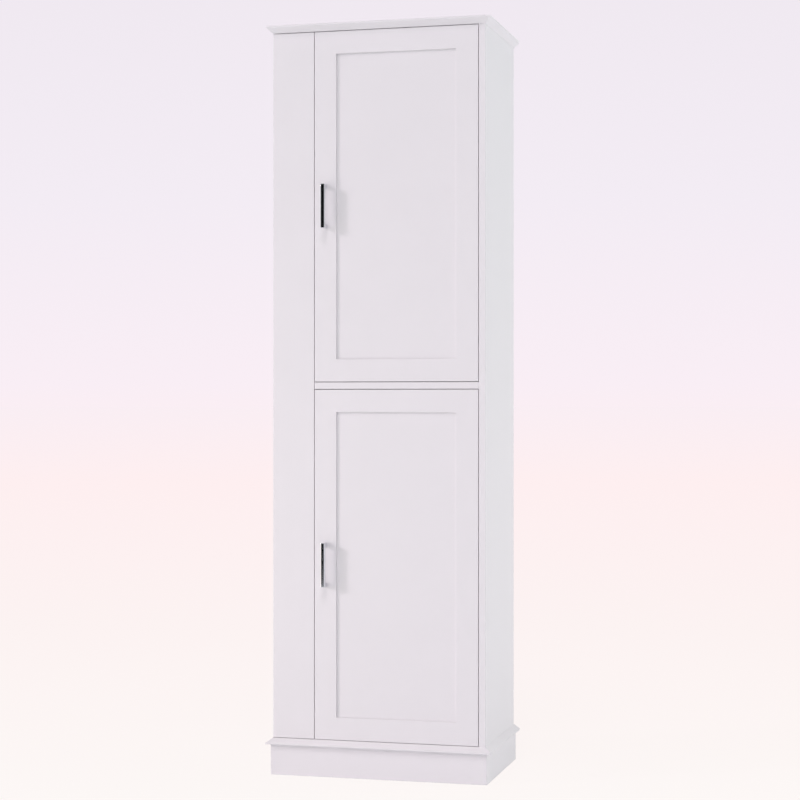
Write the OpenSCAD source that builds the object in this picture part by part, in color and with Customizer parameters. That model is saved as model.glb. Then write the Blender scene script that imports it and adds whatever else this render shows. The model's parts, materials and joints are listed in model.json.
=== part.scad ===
// Tall pantry cabinet: one column of two inset frame-and-panel doors, hung on the
// right on concealed cup hinges, beside a wide fixed front board.
// Free-standing, on a plinth with a mitred cap moulding, under a bevel-edged top.
// The front face of the doors lies at y = 0 in the drawing and the back at body_d;
// seated() moves everything so that the origin is the middle of the footprint.

/* [Case] */
// Width of the case without mouldings
body_w = 523; // [480:1:640]
// Depth of the case without mouldings, back panel included
body_d = 340; // [300:1:420]
// Height to the top of the top board
total_h = 1802; // [1500:1:2000]
// Thickness of the side, bottom and shelf boards
board_t = 16; // [15:0.5:18]
// Thickness of the top board
top_t = 17; // [15:0.5:20]
// Thickness of the back panels
back_t = 3; // [2.5:0.5:5]
// Width of the fixed front board on the left
front_stile_w = 103; // [80:1:120]

/* [Mouldings] */
// How far the top board stands out past the case
top_over = 14; // [8:0.5:20]
// Upright edge left above the bevel of the top board
top_nose_h = 4.5; // [3:0.5:7]
// Height of the plinth boards
plinth_h = 71.5; // [60:0.5:90]
// How far the plinth stands out past the case
plinth_over = 4.5; // [3:0.5:8]
// How far the cap moulding stands out past the case
cap_over = 15.5; // [12:0.5:20]
// Height of the cap moulding from its foot to its top edge
cap_h = 26.4; // [22:0.2:32]
// Height of the cap moulding's upright nose
cap_nose_h = 3; // [2:0.5:5]
// Drop of the cap moulding's weathered top slope
cap_slope_h = 11.4; // [8:0.2:14]

/* [Doors] */
// Gap all round each door, and above and below the fixed front board
door_gap = 1.5; // [1:0.25:3]
// Thickness of the door frame
door_t = 18; // [17:0.5:20]
// Width of the door's stiles and rails
frame_w = 54; // [50:1:70]
// Depth from the frame's face down to the panel's face
recess = 4.5; // [4:0.5:8]
// Thickness of the door's panel
panel_t = 6; // [4:0.5:7]
// How far the panel is let into its frame
groove_d = 10; // [6:0.5:10]
// Play round the panel in its groove
groove_play = 0.2; // [0.1:0.05:0.5]
// Largest opening angle of a door
door_open = 105; // [90:1:108]

/* [Handles] */
// Distance between the handle's screws
handle_cc = 96; // [64:32:128]
// Width and thickness of the handle's square bar
handle_bar = 10; // [8:0.5:12]
// How far the handle stands out from the door
handle_proj = 25; // [22:0.5:36]
// Diameter of the handle's screws
handle_screw_d = 4; // [3:0.5:4]

/* [Hinges] */
// Distance of a hinge's middle from the end of its door
hinge_inset = 100; // [90:5:150]
// Diameter of the hinge cup
cup_d = 35; // [35:0.5:36]
// Depth of the bore for the hinge cup
cup_depth = 13.4; // [12.5:0.1:13.6]
// Distance from the door's edge to the cup's middle
cup_edge = 22.5; // [22:0.25:24]
// Distance from the door's edge in to the axis that the door turns on
axis_in = 10; // [9:0.5:11]
// Distance of that axis behind the door's front face
axis_back = 4; // [3:0.5:4.5]
// Distance of the mounting plate's middle behind the case's front
plate_back = 58; // [56:1:64]

/* [Shelves] */
// Play between each adjustable shelf and the side panels, at each end
shelf_play = 1; // [0.5:0.25:2]
// Distance of the adjustable shelves behind the case's front
shelf_set_back = 40; // [36:1:80]
// Number of adjustable shelves behind each door
shelves_per_door = 2; // [1:1:2]
// Diameter of the shelf pins
pin_d = 5; // [4:0.5:6]
// Spacing of the shelf pin holes
pin_pitch = 32; // [25:1:40]
// Holes above and below each middle hole
pin_rows = 2; // [1:1:3]

/* [Joinery] */
// Diameter of the dowels
dowel_d = 8; // [6:1:8]
// Length of the dowels
dowel_l = 30; // [24:1:34]
// Diameter of the cam locks
cam_d = 15; // [12:0.5:15]
// Depth of the cam locks
cam_t = 12; // [10:0.5:12.5]
// Distance from a board's end to the middle of its cam lock
cam_in = 34; // [30:1:36]

/* [Wall bracket] */
// Width of the bracket that ties the cabinet to a wall
bracket_w = 40; // [30:1:60]
// Length of each of the bracket's legs
bracket_leg = 30; // [24:1:40]
// Thickness of the bracket
bracket_t = 2; // [1.5:0.5:3]
// Diameter of the wall screw's hole
wall_hole_d = 5.5; // [4.5:0.5:7]

/* [Hidden] */
$fn = 48;

eps = 0.01;                 // how far a cutting shape runs past the face it opens
mitre_reach = 2 * board_t;  // how far the plane of a mitre is followed; further than the cap goes in
half_w = body_w / 2;
case_back = body_d - back_t;                       // back edges of the boards
front_y = handle_proj - (body_d + handle_proj) / 2; // places the footprint's middle at y = 0
inner_x = half_w - board_t;                        // inner faces of the side panels
bay_left = -half_w + front_stile_w;                // right edge of the fixed front board
bottom_z = plinth_h;                               // underside of the bottom panel
bay_low = bottom_z + board_t;                      // top of the bottom panel
bay_high = total_h - top_t;                        // underside of the top board
bay_h = (bay_high - bay_low - board_t) / 2;        // clear height behind each door
mid_z = bay_low + bay_h;                           // underside of the fixed shelf
bay_floors = [bay_low, mid_z + board_t];           // floor of the lower and upper bay

door_left = bay_left + door_gap;
door_right = inner_x - door_gap;
door_w = door_right - door_left;
door_h = bay_h - 2 * door_gap;
LOWER = 0;
UPPER = 1;
function door_z(which) = bay_floors[which] + door_gap;
hinge_heights = [hinge_inset, door_h - hinge_inset];
function hinge_z(which, i) = door_z(which) + hinge_heights[i];

handle_x = door_left + frame_w / 2;
rail_l = door_w - 2 * frame_w;
tongue_l = groove_d - groove_play;                 // tongue on each end of a rail
panel_face = recess;                               // front face of the panel
groove_w = panel_t + 2 * groove_play;

cap_reveal = 0.9;                                  // the cap's top edge stands above the bottom panel's face
cap_low = plinth_h + board_t + cap_reveal - cap_h; // foot of the cap moulding
cap_high = cap_low + cap_h;

pin_front = 32;                                    // front row of shelf pins, behind the shelves' front edges
pin_rear = 45;                                     // rear row of shelf pins, from the back panel
pin_cols = [shelf_set_back + pin_front, case_back - pin_rear];
pin_hole_depth = 9;
pin_head = 1.6;
pin_out = 7;
pin_play = 0.05;
pin_collar_t = 0.9;
pin_collar_over = 3;                               // how much wider the collar is than the peg
shelf_rear_play = 1;
shelf_w = 2 * (inner_x - shelf_play);
shelf_l = case_back - shelf_set_back - shelf_rear_play;
function shelf_z(which, n) = bay_floors[which] + bay_h * n / (shelves_per_door + 1);

joint_play = 0.05;                                 // play round dowels, cams and bolts
bore_spare = 0.5;                                  // empty depth past the end of a dowel, screw or nail
cam_front = 70;                                    // depth of the front cam joints
cam_rear = 60;                                     // rear cam joints, from the back panel
joint_cols = [cam_front, case_back - cam_rear];
dowel_col = case_back / 2;
bolt_d = 6;
bolt_slack = 1;                                    // play of a cam bolt in its hole
screw_d = 3.5;
screw_play = 0.05;

module seated() { translate([0, front_y, 0]) children(); }

// a box between two corners
module block(low, high) { translate(low) cube(high - low); }

// a bar along +x from the origin
module bar_x(d, l) { rotate([0, 90, 0]) cylinder(d = d, h = l); }

// a bar along +y from the origin
module bar_y(d, l) { rotate([-90, 0, 0]) cylinder(d = d, h = l); }

// ---------- case ----------

// places children at each end joint of the bottom panel and the fixed shelf; side is -1 or 1
module at_ends(depths, sides = [-1, 1]) {
    for (side = sides, z = [bottom_z, mid_z], y = depths)
        translate([side * inner_x, y, z + board_t / 2]) scale_free(side) children();
}

// turns a shape drawn towards +x so that it points outwards at the given side
module scale_free(side) { rotate([0, 0, side > 0 ? 0 : 180]) children(); }

// places children on the top ends of the side panels, pointing up
module at_tops(depths) {
    for (side = [-1, 1], y = depths)
        translate([side * (half_w - board_t / 2), y, bay_high]) children();
}

// heights of the dowels that hold the fixed front board to the left side panel
stile_dowel_end = 60;                              // first and last dowel, from the ends of the bays
stile_dowel_n = 5;
stile_dowels = [for (i = [0 : stile_dowel_n - 1]) bay_low + stile_dowel_end
    + i * (bay_high - bay_low - 2 * stile_dowel_end) / (stile_dowel_n - 1)];
stile_dowel_d = 6;
stile_dowel_in = 10;
bolt_thread = 10;                                  // how far a cam bolt is screwed in
dowel_side = 10;                                   // how far a dowel goes into a side panel
dowel_top = 10;                                    // how far a dowel goes into the top board

module side_bores(side) {
    at_ends([dowel_col], [side]) translate([-eps, 0, 0])
        bar_x(dowel_d + 2 * joint_play, dowel_side + bore_spare);
    at_ends(joint_cols, [side]) translate([-eps, 0, 0])
        bar_x(bolt_d + 2 * joint_play, bolt_thread + bore_spare);
    nail_bores();
    for (which = [LOWER, UPPER], n = [1 : shelves_per_door], row = [-pin_rows : pin_rows], y = pin_cols)
        translate([side * (inner_x - eps), y, shelf_z(which, n) + row * pin_pitch - pin_d / 2])
            scale_free(side) bar_x(pin_d + 2 * pin_play, pin_hole_depth + eps);
}

module side_panel_left() {
    color("white") seated() difference() {
        block([-half_w, 0, bottom_z], [-inner_x, case_back, bay_high]);
        block([-half_w - eps, -eps, bay_low], [-inner_x + eps, board_t, bay_high + eps]);
        side_bores(-1);
        top_joint_cuts(-1);
        for (z = stile_dowels)
            translate([-half_w + board_t / 2, board_t - eps, z])
                bar_y(stile_dowel_d + 2 * joint_play, dowel_l - stile_dowel_in + 2 * bore_spare);
    }
}

module side_panel_right() {
    color("white") seated() difference() {
        block([inner_x, 0, bottom_z], [half_w, case_back, bay_high]);
        side_bores(1);
        top_joint_cuts(1);
        at_plate_screws() translate([-eps, 0, 0]) bar_x(screw_d + 2 * screw_play, plate_screw_l);
    }
}

// cam pockets, bolt holes and a dowel bore in the top end of a side panel
module top_joint_cuts(side) {
    x = side * (half_w - board_t / 2);
    for (y = joint_cols) {
        translate([side * (inner_x - eps), y, bay_high - cam_in]) scale_free(side)
            bar_x(cam_d + 2 * joint_play, cam_t + joint_play + eps);
        translate([x, y, bay_high - cam_in]) cylinder(d = bolt_d + bolt_slack, h = cam_in + eps);
    }
    translate([x, dowel_col, bay_high - dowel_l + dowel_top - bore_spare])
        cylinder(d = dowel_d + 2 * joint_play, h = dowel_l);
}

module front_stile() {
    color("white") seated() difference() {
        block([-half_w, 0, bay_low + door_gap], [bay_left, board_t, bay_high - door_gap]);
        at_stops() at_stop_screw() cylinder(d = screw_d + 2 * screw_play, h = stop_screw_l + bore_spare);
        for (z = stile_dowels)
            translate([-half_w + board_t / 2, board_t - stile_dowel_in, z])
                bar_y(stile_dowel_d + 2 * joint_play, stile_dowel_in + eps);
    }
}

// wedge that bevels one edge of the top board; runs along x, with the edge's face at y = 0
module bevel_cut(length) {
    rise = top_t - top_nose_h;
    rotate([90, 0, 90]) linear_extrude(length, center = true)
        polygon([[-eps, -eps], [top_over, -eps], [top_over, 0], [0, rise], [-eps, rise]]);
}

module top_board() {
    color("white") seated() difference() {
        block([-half_w - top_over, -top_over, bay_high], [half_w + top_over, body_d, total_h]);
        translate([0, -top_over, bay_high]) bevel_cut(body_w + 4 * top_over);
        for (side = [-1, 1])
            translate([side * (half_w + top_over), body_d / 2, bay_high]) rotate([0, 0, side * 90])
                bevel_cut(body_d + 4 * top_over);
        at_tops([dowel_col]) translate([0, 0, -eps])
            cylinder(d = dowel_d + 2 * joint_play, h = dowel_top + bore_spare);
        at_tops(joint_cols) translate([0, 0, -eps])
            cylinder(d = bolt_d + 2 * joint_play, h = bolt_thread + bore_spare);
        at_bracket_screws() translate([0, 0, -eps]) cylinder(d = screw_d + 2 * screw_play, h = bracket_screw_l);
    }
}

// a board between the side panels
module cross_board(z) {
    difference() {
        block([-inner_x, 0, z], [inner_x, case_back, z + board_t]);
        nail_bores();
        for (side = [-1, 1]) {
            for (y = joint_cols) {
                translate([side * (inner_x - cam_in), y, z - eps])
                    cylinder(d = cam_d + 2 * joint_play, h = cam_t + joint_play + eps);
                translate([side * (inner_x + eps), y, z + board_t / 2]) scale_free(-side)
                    bar_x(bolt_d + bolt_slack, cam_in + eps);
            }
            translate([side * (inner_x + eps), dowel_col, z + board_t / 2]) scale_free(-side)
                bar_x(dowel_d + 2 * joint_play, dowel_l - dowel_side + bore_spare);
        }
    }
}

module bottom_panel() { color("white") seated() cross_board(bottom_z); }

// notched behind the fixed front board
module fixed_shelf() {
    color("white") seated() difference() {
        cross_board(mid_z);
        block([-inner_x - eps, -eps, mid_z - eps], [bay_left, board_t, mid_z + board_t + eps]);
    }
}

module adjustable_shelf(which, n) {
    z = shelf_z(which, n) + pin_head / 2 + pin_play;
    color("white") seated()
        block([-shelf_w / 2, shelf_set_back, z], [shelf_w / 2, shelf_set_back + shelf_l, z + board_t]);
}

// one pin: a peg in the side panel, a collar and a flat tongue under the shelf
module shelf_pin() {
    translate([0, 0, -pin_d / 2]) {
        bar_x(pin_d, pin_hole_depth - bore_spare);
        rotate([0, 180, 0]) bar_x(pin_d, pin_out);
        rotate([0, 180, 0]) bar_x(pin_d + pin_collar_over, pin_collar_t);
    }
    translate([-pin_out, -pin_d / 2, -pin_d / 2]) cube([pin_out, pin_d, pin_d / 2 + pin_head / 2]);
}

module shelf_pin_set(which) {
    color("silver") seated()
        for (n = [1 : shelves_per_door], side = [-1, 1], y = pin_cols)
            translate([side * inner_x, y, shelf_z(which, n)]) scale_free(side) shelf_pin();
}

back_inset = 1;                                    // the back stops short of the case's outer faces
back_split = mid_z + board_t / 2;
nail_d = 1.8;
nail_l = 16;
nail_play = 0.02;
nail_head_d = 4.4;
nail_head_t = 0.8;                                 // heads are driven flush with the back
nail_edge = 8;                                     // nails lie in the middle of the boards' edges
nail_end = 40;                                     // first and last nail, from the ends of the bays
side_nail_n = 10;
side_nails = [for (i = [0 : side_nail_n - 1])
    bay_low + nail_end + i * (bay_high - bay_low - 2 * nail_end) / (side_nail_n - 1)];
nail_split = 4;                                    // rows of nails above and below the seam of the back
row_nails = [-160, -60, 60, 160];                  // places of the nails along the cross boards
back_seam = 0.5;                                   // gap between the two back panels
back_top_gap = 0.3;
wall_hole_clear = 2;                               // how much wider the back's hole is than the bracket's

// places children at the outside of the back, at each nail
module at_nails() {
    for (side = [-1, 1], z = side_nails) translate([side * (half_w - nail_edge), body_d, z]) children();
    for (x = row_nails, z = [bottom_z + board_t / 2, back_split - nail_split, back_split + nail_split])
        translate([x, body_d, z]) children();
}

module nail_bores() {
    at_nails() translate([0, eps, 0]) rotate([180, 0, 0]) bar_y(nail_d + 2 * nail_play, nail_l + bore_spare);
}

module nail_head_bores() {
    at_nails() translate([0, eps, 0]) rotate([180, 0, 0]) bar_y(nail_head_d + 2 * nail_play, nail_head_t + eps);
}

module back_nails() {
    color("gray") seated() at_nails() rotate([180, 0, 0]) {
        bar_y(nail_d, nail_l);
        bar_y(nail_head_d, nail_head_t);
    }
}

module back_sheet(low, high) {
    difference() {
        block([-half_w + back_inset, case_back, low], [half_w - back_inset, body_d, high]);
        nail_bores();
        nail_head_bores();
        translate([0, case_back - eps, wall_hole_z]) bar_y(wall_hole_d + wall_hole_clear, back_t + 2 * eps);
    }
}

module back_panel_lower() {
    color("wheat") seated() back_sheet(bottom_z + back_inset, back_split - back_seam / 2);
}

module back_panel_upper() {
    color("wheat") seated() back_sheet(back_split + back_seam / 2, bay_high - back_top_gap);
}

// ---------- plinth and cap moulding ----------

plinth_t = board_t;
plinth_out = half_w + plinth_over;

// cuts away what lies past the mitre of the front corner at the given side, seen by a side board
module mitre_keep_side(side, over) {
    intersection() {
        children();
        translate([side * (half_w + over), -over, -eps]) linear_extrude(plinth_h + cap_h)
            polygon([[0, 0], [-side * mitre_reach, mitre_reach], [-side * mitre_reach, 2 * body_d],
                [0, 2 * body_d]]);
    }
}

// keeps what lies between the mitres of both front corners
module mitre_keep_front(over) {
    w = half_w + over;
    intersection() {
        children();
        translate([0, -over, -eps]) linear_extrude(plinth_h + cap_h)
            polygon([[-w, 0], [w, 0], [0, w]]);
    }
}

module plinth_front() {
    color("white") seated() mitre_keep_front(plinth_over)
        block([-plinth_out, -plinth_over, 0], [plinth_out, plinth_t - plinth_over, plinth_h]);
}

module plinth_side(side) {
    x = side * plinth_out;
    color("white") seated() mitre_keep_side(side, plinth_over)
        block([min(x, x - side * plinth_t), -plinth_over, 0], [max(x, x - side * plinth_t), body_d, plinth_h]);
}

module plinth_left() { plinth_side(-1); }

module plinth_right() { plinth_side(1); }

module plinth_rear() {
    color("white") seated()
        block([-plinth_out + plinth_t, body_d - plinth_t, 0], [plinth_out - plinth_t, body_d, plinth_h]);
}

// section of the cap moulding: first value outwards from the case, second upwards.
// It rises from the plinth's face over a small cove to the flat underside of an upright nose, and a
// weathered slope runs back to the case.
nose_low = cap_high - cap_slope_h - cap_nose_h;
cove_r = 5;
cove_steps = 6;
cap_section = [
    [0, plinth_h], [plinth_over, plinth_h], [plinth_over, cap_low],
    for (i = [0 : cove_steps]) let (a = 90 * i / cove_steps)
        [plinth_over + cove_r * (1 - cos(a)), nose_low - cove_r * (1 - sin(a))],
    [cap_over, nose_low], [cap_over, nose_low + cap_nose_h], [0, cap_high]
];

// length of cap moulding along x; the case's face lies at y = 0 and the moulding on its -y side
module cap_length(l) {
    rotate([90, 0, 90]) linear_extrude(l, center = true) polygon([for (p = cap_section) [-p[0], p[1]]]);
}

module cap_front() {
    color("white") seated() mitre_keep_front(cap_over) cap_length(2 * (half_w + cap_over));
}

module cap_side(side) {
    color("white") seated() mitre_keep_side(side, cap_over)
        translate([side * half_w, (body_d - cap_over) / 2, 0]) rotate([0, 0, side * 90])
            cap_length(body_d + cap_over);
}

module cap_left() { cap_side(-1); }

module cap_right() { cap_side(1); }

// ---------- joinery ----------

module dowels() {
    color("burlywood") seated() {
        at_ends([dowel_col]) translate([dowel_side - dowel_l, 0, 0]) bar_x(dowel_d, dowel_l);
        at_tops([dowel_col]) translate([0, 0, dowel_top - dowel_l]) cylinder(d = dowel_d, h = dowel_l);
        for (z = stile_dowels)
            translate([-half_w + board_t / 2, board_t - stile_dowel_in + bore_spare, z])
                bar_y(stile_dowel_d, dowel_l);
    }
}

cam_slot_w = 1.2;
cam_slot_t = 1.5;                                  // depth of the cam lock's cross slot
cam_slot_in = 3;                                   // rim left round the cross slot
bolt_neck = 1.5;                                   // how much thinner the cam bolt is between thread and head
bolt_head_l = 2.5;

// two crossed slots, cut down from z = 0 upwards, for a driver's blade
module cross_slot(span, width, depth) {
    for (turn = [0, 90]) rotate([0, 0, turn]) translate([-span / 2, -width / 2, -eps])
        cube([span, width, depth + eps]);
}

// a cam lock along +z from its open face, with its bolt hole towards +x
module cam_lock(bolt_height) {
    difference() {
        cylinder(d = cam_d, h = cam_t);
        translate([0, 0, bolt_height]) bar_x(bolt_d + bolt_slack / 2, cam_d);
        cross_slot(cam_d - 2 * cam_slot_in, cam_slot_w, cam_slot_t);
    }
}

module cam_locks() {
    color("silver") seated() {
        for (side = [-1, 1], z = [bottom_z, mid_z], y = joint_cols)
            translate([side * (inner_x - cam_in), y, z]) scale_free(side) cam_lock(board_t / 2);
        for (side = [-1, 1], y = joint_cols)
            translate([side * inner_x, y, bay_high - cam_in]) scale_free(side) rotate([0, 90, 0])
                rotate([0, 0, 180]) cam_lock(board_t / 2);
    }
}

// a cam bolt along +x: thread towards +x from the joint's face, shank and head towards -x
module cam_bolt() {
    bar_x(bolt_d, bolt_thread);
    rotate([0, 180, 0]) {
        bar_x(bolt_d - bolt_neck, cam_in - bolt_slack);
        bar_x(bolt_d, cam_in - cam_d / 2 - bolt_slack);
    }
    translate([bolt_slack - cam_in, 0, 0]) bar_x(bolt_d, bolt_head_l);
}

module cam_bolts() {
    color("silver") seated() {
        at_ends(joint_cols) cam_bolt();
        at_tops(joint_cols) rotate([0, -90, 0]) cam_bolt();
    }
}

bracket_hole_at = 0.6;                             // holes lie this far along each leg of the bracket
bracket_screw_at = 0.3;                            // and this part of its width from the middle
wall_hole_z = bay_high - bracket_hole_at * bracket_leg;
bracket_screw_l = 12;

// places children at the underside of the bracket's upper leg, pointing up
module at_bracket_screws() {
    for (side = [-1, 1])
        translate([side * bracket_screw_at * bracket_w, case_back - bracket_hole_at * bracket_leg, bay_high])
            children();
}

module wall_bracket() {
    color("silver") seated() difference() {
        union() {
            block([-bracket_w / 2, case_back - bracket_leg, bay_high - bracket_t],
                [bracket_w / 2, case_back, bay_high]);
            block([-bracket_w / 2, case_back - bracket_t, bay_high - bracket_leg],
                [bracket_w / 2, case_back, bay_high]);
        }
        translate([0, case_back - bracket_t - eps, wall_hole_z]) bar_y(wall_hole_d, bracket_t + 2 * eps);
        at_bracket_screws() translate([0, 0, -bracket_t - eps])
            cylinder(d = screw_d + 2 * screw_play, h = bracket_t + 2 * eps);
    }
}

pan_h = 1.8;                                       // height of a pan head
recess_w = 0.9;                                    // slots of a cross recess
recess_h = 1.2;
recess_span = 4.2;

// a pan-headed screw along +z: the head's seat is at z = 0 and the shank is above it
module pan_screw(l) {
    difference() {
        union() {
            cylinder(d = screw_d, h = l);
            translate([0, 0, -pan_h]) cylinder(d = 2 * screw_d, h = pan_h);
        }
        translate([0, 0, -pan_h]) cross_slot(recess_span, recess_w, recess_h);
    }
}

module bracket_screws() {
    color("silver") seated() at_bracket_screws() translate([0, 0, -bracket_t])
        pan_screw(bracket_screw_l + bracket_t - bore_spare);
}

// glue blocks in the corners inside the plinth, under the bottom panel
block_w = 25;

module corner_blocks() {
    inner = plinth_out - plinth_t;
    color("burlywood") seated()
        for (side = [-1, 1], low = [plinth_t - plinth_over, body_d - plinth_t - block_w])
            block([side > 0 ? inner - block_w : -inner, low, bottom_z - 2 * block_w],
                [side > 0 ? inner : block_w - inner, low + block_w, bottom_z]);
}

// ---------- door stops ----------
// Small plates behind the fixed front board that the doors' free edges come to rest on.

stop_h = 30;
stop_t = 5;
stop_back = 24;                                    // how far a stop reaches back over the fixed board
stop_lap = 10;                                     // how far it laps over the door
stop_gap = 0.3;                                    // play left for the door
stop_inset = 150;                                  // distance from the door's end
stop_screw_l = 12;
stop_seat = 2.4;                                   // depth of the screw's sunk head, with its seat

// places children at each stop, at the edge of the fixed front board's back face
module at_stops() {
    for (which = [LOWER, UPPER], z = [stop_inset, door_h - stop_inset])
        translate([bay_left, board_t, door_z(which) + z]) children();
}

// places children at the middle of a stop's screw head seat, pointing forwards
module at_stop_screw() { translate([-stop_back / 2, stop_t - stop_seat, 0]) rotate([90, 0, 0]) children(); }

module door_stops() {
    color("white") seated() at_stops() difference() {
        block([-stop_back, 0, -stop_h / 2], [stop_lap, stop_t, stop_h / 2]);
        block([0, -eps, -stop_h / 2 - eps], [stop_lap + eps, door_t - board_t + stop_gap, stop_h / 2 + eps]);
        at_stop_screw() translate([0, 0, -stop_t]) cylinder(d = screw_d + 2 * screw_play, h = 2 * stop_t);
        at_stop_screw() translate([0, 0, -stop_t]) cylinder(d = 2 * screw_d + bolt_slack, h = stop_t);
    }
}

module stop_screws() {
    color("gray") seated() at_stops() at_stop_screw() pan_screw(stop_screw_l);
}

// ---------- concealed hinges ----------
// Drawn with the door's hinge edge at x = 0, its front face at y = 0 and the hinge's middle at z = 0,
// so that distances from the edge into the door are negative x.

hinge_axis = [-axis_in, axis_back];
cup_wall = 0.9;
cup_floor = 0.6;
cup_play = 0.05;
cup_bore_y = door_t - cup_depth;
flange_t = 1;
flange_over = 1;                                   // the flange's rim laps over the edge of the bore
wing_w = 12;                                       // wings of the flange that hold the cup's screws
cup_screw_span = 48;
cup_screw_in = 6;                                  // screws lie further from the edge than the cup
cup_screw_l = 12;

arm_pin_past = 11.5;                               // arm's pin lies this far past the cup's middle
arm_pin_up = 7.4;                                  // and this far above the bottom of the cup's bore
arm_pin = [-cup_edge - arm_pin_past, cup_bore_y + arm_pin_up]; // pin that joins the link to the arm
link_l = 21.2;                                     // from the arm's pin to the link's knuckle
link_rest = -7.25;                                 // direction of the link when the door is shut
link_bow = 4.1;
link_t = 1.2;
link_w = 8;
eye_r = 2.4;
knuckle_r = 1.9;
arm_pin_d = 3;
pin_fit = 0.05;
cheek_t = 1.6;
cheek_gap = link_w / 2 + 0.3;
plate_base = 2;
plate_rise = 4;
arm_h = 10;
plate_screw_l = 12;
plate_screw_span = 32;
plate_half_w = 9;                                  // wings of the mounting plate
plate_half_h = 25;
plate_block_front = 20;                            // middle part of the plate, under the arm
plate_block_rear = 22;
arm_eye_r = 3.2;
pin_stand = 0.3;                                   // how far the arm's pin stands out of each cheek
web_t = 1.5;
arm_screw_d = 4;
arm_screw_head_d = 6.6;
arm_screw_head_t = 1;
arm_screw_in = 3;                                  // how far the arm's screws go into the plate
arm_screw_cols = [-10, 14];                        // their places from the plate's middle: lock and depth screw

// places children at both hinges of a door
module at_hinges(which) {
    for (i = [0, 1]) translate([door_right, 0, hinge_z(which, i)]) children();
}

module at_plate_screws() {
    for (which = [LOWER, UPPER], i = [0, 1], end = [-1, 1])
        translate([inner_x, plate_back, hinge_z(which, i) + end * plate_screw_span / 2]) children();
}

// places children at a cup's two screws, on the back face of the door
module at_cup_screws() {
    for (end = [-1, 1])
        translate([-cup_edge - cup_screw_in, door_t, end * cup_screw_span / 2]) children();
}

module cup_bore() {
    translate([-cup_edge, cup_bore_y, 0]) bar_y(cup_d, cup_depth + eps);
    at_cup_screws() translate([0, eps, 0]) rotate([180, 0, 0])
        bar_y(screw_d + 2 * screw_play, cup_screw_l + bore_spare);
}

module hinge_cup() {
    difference() {
        union() {
            translate([-cup_edge, cup_bore_y + cup_play, 0]) bar_y(cup_d - 2 * cup_play, cup_depth);
            translate([-cup_edge, door_t, 0]) bar_y(cup_d + 2 * flange_over, flange_t);
            at_cup_screws() bar_y(wing_w, flange_t);
            translate([-cup_edge - cup_screw_in - wing_w / 2, door_t, -cup_screw_span / 2])
                cube([wing_w, flange_t, cup_screw_span]);
        }
        translate([-cup_edge, cup_bore_y + cup_play + cup_floor, 0]) bar_y(cup_d - 2 * cup_wall, 2 * cup_depth);
        at_cup_screws() translate([0, -eps, 0]) bar_y(screw_d + 2 * screw_play, flange_t + 2 * eps);
    }
}

module hinge_cups(which) { color("silver") seated() at_hinges(which) hinge_cup(); }

module cup_screw_set(which) {
    color("gray") seated() at_hinges(which) at_cup_screws() translate([0, flange_t, 0]) rotate([90, 0, 0])
        pan_screw(cup_screw_l + flange_t);
}

// bowed link from the arm's pin to its knuckle in the cup, hugging the cup's floor
bow_r = (link_l * link_l / 4 + link_bow * link_bow) / (2 * link_bow);
bow_half = asin(link_l / 2 / bow_r);
bow_steps = 12;
function bow_point(r, i) = let (a = bow_half * (2 * i / bow_steps - 1))
    [link_l / 2 + r * sin(a), bow_r - link_bow - r * cos(a)];

module hinge_link() {
    translate([arm_pin[0], arm_pin[1], 0]) rotate([0, 0, link_rest]) translate([0, 0, -link_w / 2])
        difference() {
            union() {
                cylinder(r = eye_r, h = link_w);
                translate([link_l, 0, 0]) cylinder(r = knuckle_r, h = link_w);
                linear_extrude(link_w) polygon([
                    for (i = [0 : bow_steps]) bow_point(bow_r + link_t / 2, i),
                    for (i = [bow_steps : -1 : 0]) bow_point(bow_r - link_t / 2, i)]);
            }
            translate([0, 0, -eps]) cylinder(d = arm_pin_d + 2 * pin_fit, h = link_w + 2 * eps);
        }
}

module hinge_links(which) { color("silver") seated() at_hinges(which) hinge_link(); }

// side view of a hinge arm: nose at the pin, goose neck, then the straight part over the plate
arm_low = door_gap - plate_base - plate_rise;
arm_high = arm_low - arm_h;
arm_end = plate_back + 26;
arm_heel = 44;                                     // depth at which the arm's straight part begins
arm_bend = 32;
arm_front = 30;                                    // front end of the part that lies over the plate
neck = [12, 10];                                   // goose neck's outer corners, across and back from the pin
throat = [10, 12];
nose_l = 6;
web_step = [1, 1.4];                               // from the web's outer corners to its inner ones
arm_side = [
    [arm_low, arm_end], [arm_high, arm_end], [arm_high, arm_heel], [arm_pin[0] + neck[0], arm_bend],
    [arm_pin[0] - arm_eye_r, arm_pin[1] + neck[1]], [arm_pin[0] - arm_eye_r, arm_pin[1]],
    [arm_pin[0] + arm_eye_r, arm_pin[1]], [arm_pin[0] + arm_eye_r, arm_pin[1] + nose_l],
    [arm_pin[0] + throat[0], arm_pin[1] + throat[1]], [arm_low, arm_front]
];
arm_web = [
    [arm_high, arm_end], [arm_high, arm_heel], [arm_pin[0] + neck[0], arm_bend],
    [arm_pin[0] - arm_eye_r, arm_pin[1] + neck[1]],
    [arm_pin[0] - arm_eye_r + web_step[0], arm_pin[1] + neck[1] - web_step[1]],
    [arm_pin[0] + neck[0] + web_step[0], arm_bend - web_step[1]], [arm_high + web_t, arm_heel - web_step[0]],
    [arm_high + web_t, arm_end]
];

// places children on the outer face of a hinge arm at its two adjusting screws, pointing at the side panel
module at_arm_screws() {
    for (col = arm_screw_cols) translate([arm_high, plate_back + col, 0]) rotate([0, 90, 0]) children();
}

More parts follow.
